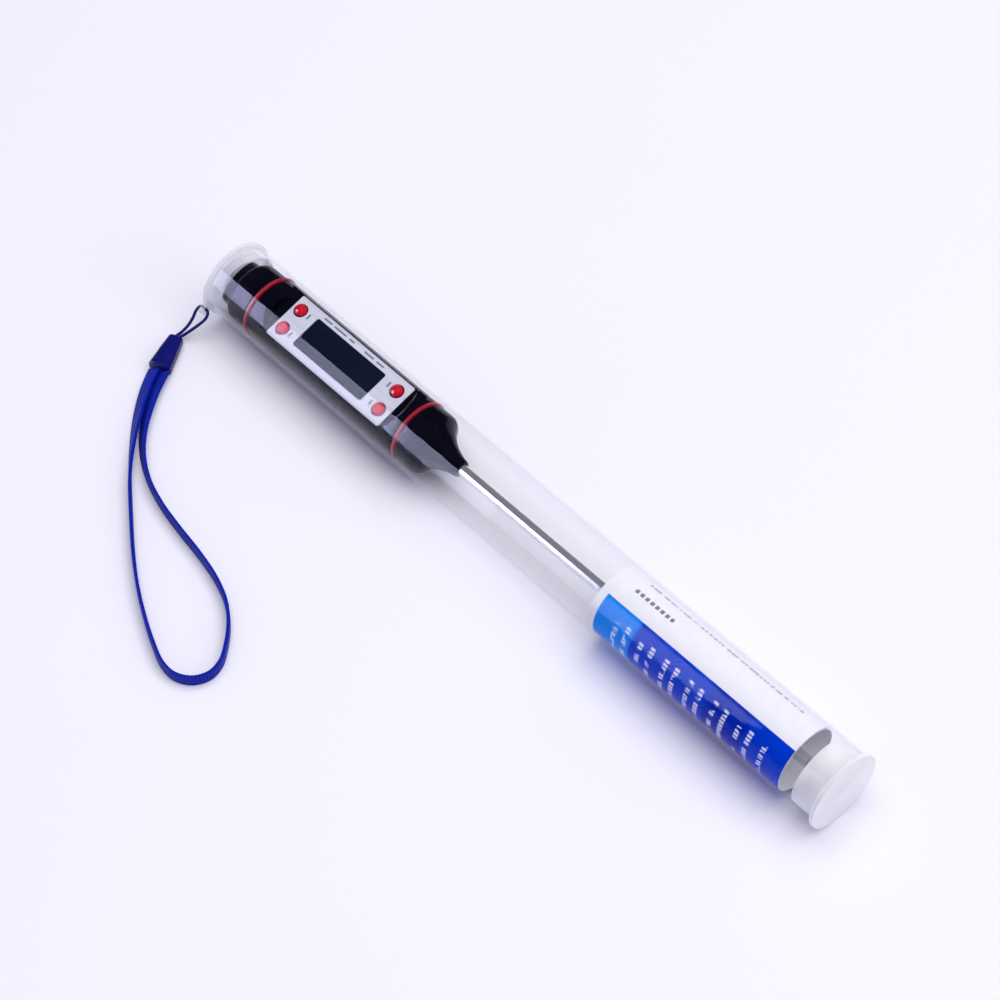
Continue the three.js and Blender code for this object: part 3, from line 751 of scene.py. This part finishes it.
def make_leaflet():
    """A sheet rolled a little more than once. Its outer edge lies along the tube's back."""
    start = math.radians(LEAF_START)
    steps, rings = 150, 24
    bm = bmesh.new()
    layer = bm.loops.layers.uv.new("UVMap")
    grids = []
    for inset in (0.0, PAPER):
        grid = []
        for i in range(steps + 1):
            turn = LEAF_TURNS * i / steps
            radius = LEAF_R - LEAF_PITCH * turn - inset
            angle = start + 2 * math.pi * turn
            column = []
            for k in range(rings + 1):
                x = LEAF_FROM + (LEAF_TO - LEAF_FROM) * k / rings
                column.append(bm.verts.new(
                    Vector((x, -radius * math.sin(angle), radius * math.cos(angle))) * MM))
            grid.append(column)
        grids.append(grid)

    def quad(a, b, c, d, uvs):
        face = bm.faces.new((a, b, c, d))
        for loop, uv in zip(face.loops, uvs):
            loop[layer].uv = uv

    arc = 2 * math.pi * LEAF_R / steps * LEAF_TURNS
    run = (LEAF_TO - LEAF_FROM) / rings
    bare = ((0, INSIDE),) * 4
    front, back = grids
    for grid in grids:
        for i in range(steps):
            for k in range(rings):
                printed = ((k * run, i * arc), (k * run, (i + 1) * arc),
                           ((k + 1) * run, (i + 1) * arc), ((k + 1) * run, i * arc))
                quad(grid[i][k], grid[i + 1][k], grid[i + 1][k + 1], grid[i][k + 1],
                     bare if grid is back else printed)
    for i in range(steps):
        quad(front[i][0], front[i + 1][0], back[i + 1][0], back[i][0], bare)
        quad(front[i][-1], front[i + 1][-1], back[i + 1][-1], back[i][-1], bare)
    for k in range(rings):
        quad(front[0][k], front[0][k + 1], back[0][k + 1], back[0][k], bare)
        quad(front[-1][k], front[-1][k + 1], back[-1][k + 1], back[-1][k], bare)
    obj = from_bmesh("leaflet", bm, leaflet_material())
    seat(place(crisp(obj, 40), TO_TUBE), "tube", "leaflet_paper", "instruction_leaflet")


# Thermometer ---------------------------------------------------------------------------------


CASE_R, CASE_BORE_R = 10.1, 8.8
FLAT_H = 6.15  # the flat under the plate, from the axis
PLATE_H, PLATE_TOP_H = 6.45, 6.8
PLATE_HALF = 7.75
FACE_INNER_H = 4.95  # the case's inside, under the flat


def case_cutter(material):
    """The space above the flat that the face plate lies on, with a slope at each end."""
    top = 11.0
    a, b = PLATE_FROM - 0.5, PLATE_TO + 0.5
    reach = top - FLAT_H
    bm = bmesh.new()
    outline = ((a, FLAT_H), (b, FLAT_H), (b + reach, top), (a - reach, top))
    for side in (-14, 14):
        bm.faces.new([bm.verts.new(Vector((x, side, z)) * MM) for x, z in outline])
    bm.verts.ensure_lookup_table()
    for i in range(4):
        j = (i + 1) % 4
        bm.faces.new([bm.verts[i], bm.verts[j], bm.verts[4 + j], bm.verts[4 + i]])
    return from_bmesh("cutter", bm, material, smooth=False)


def case_half(name, black, upper):
    seam = 0.06  # half of the hairline between the two shells
    profile = rounded([
        (CASE_FROM, CASE_BORE_R), (CASE_FROM, CASE_R), (CASE_TO, CASE_R), (CASE_TO, CASE_BORE_R),
    ], 0.35)
    shell = turned(name, profile, black, closed=True)
    if upper:
        floor = block(PLATE_FROM - 4.5, PLATE_TO + 4.5, 8.2, FACE_INNER_H, 7.0, black)
        cut(shell, floor, "UNION")
        cut(shell, case_cutter(black))
        cut(shell, block(CASE_FROM - 1, CASE_TO + 1, 14, -14, seam, black))
    else:
        cut(shell, block(CASE_FROM - 1, CASE_TO + 1, 14, -seam, 14, black))
    bevel = shell.modifiers.new("edges", "BEVEL")
    bevel.width = 0.22 * MM
    bevel.segments = 3
    bevel.limit_method = "ANGLE"
    bevel.angle_limit = math.radians(28)
    apply_modifiers(shell)
    return crisp(shell, 30)


BUTTON_X = [(span(a)[0].x + span(a)[1].x) / 2 for a in ("power_button", "unit_button")]
BUTTON_SIDE = 3.75
BUTTON_R = 1.85
BUTTON_HOLE_R = 2.25  # in the face plate
BUTTON_NAMES = (("power", "hold"), ("unit", "memory"))


def button_places():
    for x, names in zip(BUTTON_X, BUTTON_NAMES):
        for name, side in zip(names, (1, -1)):
            yield name, x, side * BUTTON_SIDE


WINDOW = (LEFT + 33.8, LEFT + 62.95, 5.45)  # its ends and its half width


def make_face():
    plate = metal("silver_plate", (0.66, 0.67, 0.80), (0.74, 0.75, 0.88), rough=(0.3, 0.42),
                  stretch=(0.03, 1, 1), metallic=0.2)
    holes = [round_box(*WINDOW, 0.8)] + [circle(x, y, BUTTON_HOLE_R) for _, x, y in button_places()]
    face = plate_piece("face_plate", round_box(PLATE_FROM, PLATE_TO, PLATE_HALF, 0.5), holes,
                       PLATE_H, PLATE_TOP_H, 0.07, plate)
    seat(place(face, TO_THERMOMETER), "thermometer", "silver_plate", "face_plate")
    glass = moulded("dark_window", (0.004, 0.007, 0.018), (0.006, 0.01, 0.024), rough=(0.03, 0.034),
                    grain=0.000002)
    x0, x1, half = WINDOW
    window = plate_piece("display_window", round_box(x0 + 0.1, x1 - 0.1, half - 0.1, 0.7), [],
                         PLATE_H, PLATE_TOP_H - 0.08, 0.08, glass)
    seat(place(window, TO_THERMOMETER), "thermometer", "window", "display_window")
    make_marks()


def make_marks():
    """Short printed bars beside the window and the buttons, in place of lettering."""
    ink = moulded("grey_print", (0.16, 0.16, 0.24), (0.2, 0.2, 0.28), rough=(0.4, 0.5))
    x0, x1, half = WINDOW
    bars = []
    for x, long in ((x0 + 1.5, 3.4), (x0 + 5.8, 5.2), (x0 + 12.2, 2.2), (x1 - 10.5, 4.0), (x1 - 5.4, 3.2)):
        bars.append((x, x + long, half + 1.1, 0.28))
    for _, x, y in button_places():
        toward = 1 if x < (x0 + x1) / 2 else -1
        middle = x + toward * 3.4
        bars.append((middle - 0.32, middle + 0.32, y, 0.95))
    pieces = []
    for i, (a, b, y, tall) in enumerate(bars):
        outline = [(px, py + y) for px, py in round_box(a, b, tall, min(0.25, tall * 0.9), 4)]
        pieces.append(plate_piece(f"mark_{i}", outline, [],
                                  PLATE_TOP_H - 0.01, PLATE_TOP_H + 0.025, 0.008, ink))
    marks = join(pieces, "face_marks")
    place(marks, TO_THERMOMETER)
    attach(marks, "thermometer")


def make_case(black):
    for name, node, upper in (("case_front", "front_shell", True), ("case_rear", "rear_shell", False)):
        seat(place(case_half(name, black, upper), TO_THERMOMETER), "thermometer", "black_casing", node)


def make_battery_cap(black):
    """A knob, a sloping shoulder and the cap's wall, hollow from the other end."""
    a, b = (corner.x for corner in span("battery_cap"))
    profile = [
        (a, 0), (a, 7.4), (a + 4.1, 7.4), (a + 4.1, 8.3), (a + 4.9, 9.35), (a + 6.0, 9.7),
        (b, 9.7), (b, 8.45), (a + 5.8, 8.45), (a + 5.3, 6.2), (a + 1.2, 6.2), (a + 1.2, 0),
    ]
    cap = turned("battery_cap_shell", rounded(profile, 0.75, 6, skip=(7, 8, 9, 10, 11)), black)
    seat(place(crisp(cap), TO_THERMOMETER), "battery_cap", "black_casing", "battery_cap")


def make_seals():
    red = moulded("red_rubber", (0.36, 0.008, 0.025), (0.28, 0.006, 0.018), rough=(0.3, 0.42))
    for name, body in (("battery_seal_ring", "seal_ring"), ("nose_seal_ring", "thermometer")):
        a, b = (corner.x for corner in span(name))
        middle, half = (a + b) / 2, (b - a) / 2
        profile = [(a, 8.45)]
        for k in range(13):
            t = math.radians(180 - 15 * k)
            profile.append((middle + half * math.cos(t), 9.95 + 0.45 * math.sin(t)))
        profile.append((b, 8.45))
        ring = turned(name + "_round", profile, red, closed=True)
        seat(place(crisp(ring, 60), TO_THERMOMETER), body, "red_rubber", name)


def make_nose(black):
    a, b = (corner.x for corner in span("nose_cone"))
    outer = smooth_line([
        (a + 4.2, 10.0, 0), (a + 5.2, 9.83, 0), (a + 6.1, 9.25, 0), (a + 7.0, 8.25, 0), (a + 8.2, 6.85, 0),
        (a + 9.8, 5.5, 0), (a + 11.8, 4.3, 0), (a + 14.4, 3.3, 0), (b - 0.25, 2.62, 0),
    ], 60)
    profile = [(a, 8.5), (a, 9.85), (a + 0.15, 10.0)] + [(p.x, p.y) for p in outer]
    profile += [
        (b, 2.4), (b, 1.85), (b - 6.5, 1.85), (b - 8, 3.4), (b - 10.3, 5.4), (b - 11.7, 7.0), (b - 14, 8.5),
    ]
    nose = turned("nose", profile, black, closed=True)
    seat(place(crisp(nose, 40), TO_THERMOMETER), "thermometer", "black_casing", "nose_cone")


def make_probe():
    steel = metal("probe_steel", (0.62, 0.62, 0.67), (0.74, 0.74, 0.78), rough=(0.14, 0.24),
                  stretch=(0.02, 1, 1), metallic=0.75)
    a, tip = (corner.x for corner in span("probe_tube"))
    radius, bore = 1.75, 1.3
    line = smooth_line([
        (tip - 5, radius, 0), (tip - 2.9, 1.38, 0), (tip - 0.9, 0.62, 0), (tip - 0.15, 0.24, 0),
    ], 24)
    profile = [(a, bore), (a, radius), (a + 60, radius)] + [(p.x, p.y) for p in line] + [(tip, 0)]
    probe = turned("probe", profile, steel, sides=48)
    seat(place(crisp(probe), TO_THERMOMETER), "thermometer", "probe_steel", "probe_tube")


def make_buttons():
    """Each has a stem, a collar that keeps it in the case, and a domed head."""
    red = moulded("red_button", (0.68, 0.006, 0.022), (0.6, 0.004, 0.016), rough=(0.14, 0.22))
    for name, x, y in button_places():
        bm = bmesh.new()
        profile = [
            (0, 3.2), (1.0, 3.2), (1.0, 3.9), (2.5, 3.9), (2.5, 4.6), (BUTTON_R, 4.6), (BUTTON_R, 7.0),
        ]
        for k in range(1, 10):
            t = math.radians(90 * k / 9)
            profile.append((BUTTON_R * math.cos(t), 7.0 + 1.15 * math.sin(t)))
        rings = []
        sides = 48
        for radius, z in profile:
            if radius < 1e-3:
                rings.append([bm.verts.new(Vector((x, y, z)) * MM)])
                continue
            rings.append([bm.verts.new(Vector((
                x + radius * math.cos(2 * math.pi * i / sides),
                y + radius * math.sin(2 * math.pi * i / sides), z)) * MM) for i in range(sides)])
        for low_ring, high_ring in zip(rings, rings[1:]):
            for i in range(sides):
                j = (i + 1) % sides
                corners = [low_ring[i % len(low_ring)], low_ring[j % len(low_ring)],
                           high_ring[j % len(high_ring)], high_ring[i % len(high_ring)]]
                bm.faces.new(list(dict.fromkeys(corners)))
        obj = from_bmesh(f"{name}_dome", bm, red)
        seat(place(crisp(obj), TO_THERMOMETER), f"{name}_button", "red_button", f"{name}_button")


def finish_hidden(black):
    """The CAD nodes that stay as they are get their own materials."""
    looks = {
        "black_casing": black,
        "lcd": moulded("lcd_grey", (0.2, 0.25, 0.2), (0.24, 0.3, 0.24), rough=(0.05, 0.1)),
        "white_moulding": moulded("white_moulding", (0.8, 0.8, 0.8), (0.74, 0.74, 0.76), rough=(0.4, 0.5)),
        "strip_rubber": moulded("strip_rubber", (0.5, 0.18, 0.14), (0.08, 0.05, 0.05), rough=(0.6, 0.7)),
        "board": moulded("board_green", (0.012, 0.1, 0.035), (0.02, 0.16, 0.055), rough=(0.3, 0.42)),
        "chip": moulded("chip_resin", (0.008, 0.008, 0.009), (0.014, 0.014, 0.016), rough=(0.45, 0.6)),
        "spring_steel": metal("spring_steel", (0.6, 0.6, 0.62), (0.68, 0.68, 0.7)),
        "cell_steel": metal("cell_steel", (0.62, 0.62, 0.65), (0.72, 0.72, 0.74), stretch=(1, 0.2, 0.2)),
        "contact_brass": metal("contact_brass", (0.62, 0.42, 0.16), (0.72, 0.52, 0.24)),
        "red_insulation": moulded(
            "red_insulation", (0.5, 0.02, 0.02), (0.42, 0.02, 0.02), rough=(0.35, 0.45)),
        "black_insulation": moulded(
            "black_insulation", (0.01, 0.01, 0.01), (0.02, 0.02, 0.02), rough=(0.35, 0.45)),
    }
    slots = {row["node"]: row["material_slot"] for row in frame["record"]["subparts"]}
    for name, node in frame["nodes"].items():
        if slots[name] in looks and not node.hide_render:
            node.data.materials.clear()
            node.data.materials.append(looks[slots[name]])


# Stage and light -----------------------------------------------------------------------------


ROOM_LIGHT, ROOM_MIRRORED = 0.36, 0.03  # the room's strength as light, and as seen in a mirror
BAND_FROM, BAND_TO = 35.0, 88.0  # where the mirrored softbox stands: degrees from up, towards -Y
BAND_FACETS = 4
SOFTBOX = 13.0  # its brightness
SOFTBOX_AWAY = 1.2  # metres, as are the next two
SOFTBOX_LONG = 1.2
SOFTBOX_END = -0.575  # its right-hand end
KEY, FILL = 41.0, 4.0  # watts


def area_light(name, at, aim, size, power, colour, glossy):
    data = bpy.data.lights.new(name, "AREA")
    data.shape = "RECTANGLE"
    data.size, data.size_y = size
    data.energy = power
    data.color = colour
    light = bpy.data.objects.new(name, data)
    bpy.context.scene.collection.objects.link(light)
    light.location = at
    direction = Vector(aim) - Vector(at)
    light.rotation_euler = direction.to_track_quat("-Z", "Y").to_euler()
    light.visible_glossy = glossy
    return light


def make_stage():
    n = Nodes("pale_floor")
    shader = n.principled(
        Base_Color=n.mix(n.ramp(n.noise(6, 2), 0, 1), (0.86, 0.85, 0.93), (0.87, 0.86, 0.94)),
        Roughness=0.6,
    )
    material = n.finish(shader)
    bm = bmesh.new()
    bmesh.ops.create_grid(bm, x_segments=1, y_segments=1, size=4)
    floor = from_bmesh("floor", bm, material, smooth=False)
    world = bpy.data.worlds.new("studio")
    world.use_nodes = True
    tree = world.node_tree
    background = tree.nodes["Background"]
    background.inputs[0].default_value = (0.73, 0.72, 1.0, 1)
    # Mirrored, the room is darker than the soft light that it gives.
    path = tree.nodes.new("ShaderNodeLightPath")
    level = tree.nodes.new("ShaderNodeMapRange")
    tree.links.new(path.outputs["Is Glossy Ray"], level.inputs["Value"])
    level.inputs["To Min"].default_value = ROOM_LIGHT
    level.inputs["To Max"].default_value = ROOM_MIRRORED
    tree.links.new(level.outputs[0], background.inputs[1])
    bpy.context.scene.world = world
    bpy.context.scene.view_settings.view_transform = "Standard"


def make_lights():
    # A curved softbox on the front left is there only to be mirrored: the tube shows it as a
    # band between its own middle and its lower side. The others give the soft light itself.
    step = (BAND_TO - BAND_FROM) / BAND_FACETS
    for i in range(BAND_FACETS):
        angle = math.radians(BAND_FROM + step * (i + 0.5))
        up = Vector((0, -math.sin(angle), math.cos(angle)))
        across = Vector((0, math.cos(angle), math.sin(angle)))
        size = (2 * SOFTBOX_AWAY * math.tan(math.radians(step / 2)), SOFTBOX_LONG)
        power = SOFTBOX * math.pi * size[0] * size[1]
        at = SOFTBOX_AWAY * up + Vector((SOFTBOX_END - SOFTBOX_LONG / 2, 0, 0))
        light = area_light(f"softbox_{i}", at, (0, 0, 0), size, power, (0.72, 0.73, 1.0), True)
        # Its own X runs up and over the tube, its Y along it, and it looks down at the tube.
        light.rotation_euler = Matrix((across, up.cross(across), up)).transposed().to_euler()
        light.visible_diffuse = False
    area_light("key", (0.1, 0.3, 1.9), (0, 0, 0), (2.3, 2.3), KEY, (1.0, 0.995, 0.93), False)
    area_light("fill", (1.2, 0.35, 0.75), (0, 0, 0), (0.9, 0.9), FILL, (1.0, 1.0, 1.0), False)


def main():
    make_camera()
    make_strap()
    make_tube()
    make_caps()
    make_leaflet()
    black = moulded("black_casing", (0.002, 0.002, 0.006), (0.004, 0.004, 0.01), rough=(0.09, 0.14),
                    grain=0.000002, specular=0.18, tint=(0.65, 0.66, 1.0))
    make_case(black)
    make_face()
    make_battery_cap(black)
    make_seals()
    make_nose(black)
    make_probe()
    make_buttons()
    finish_hidden(black)
    make_stage()
    make_lights()


main()
bpy.context.view_layer.update()
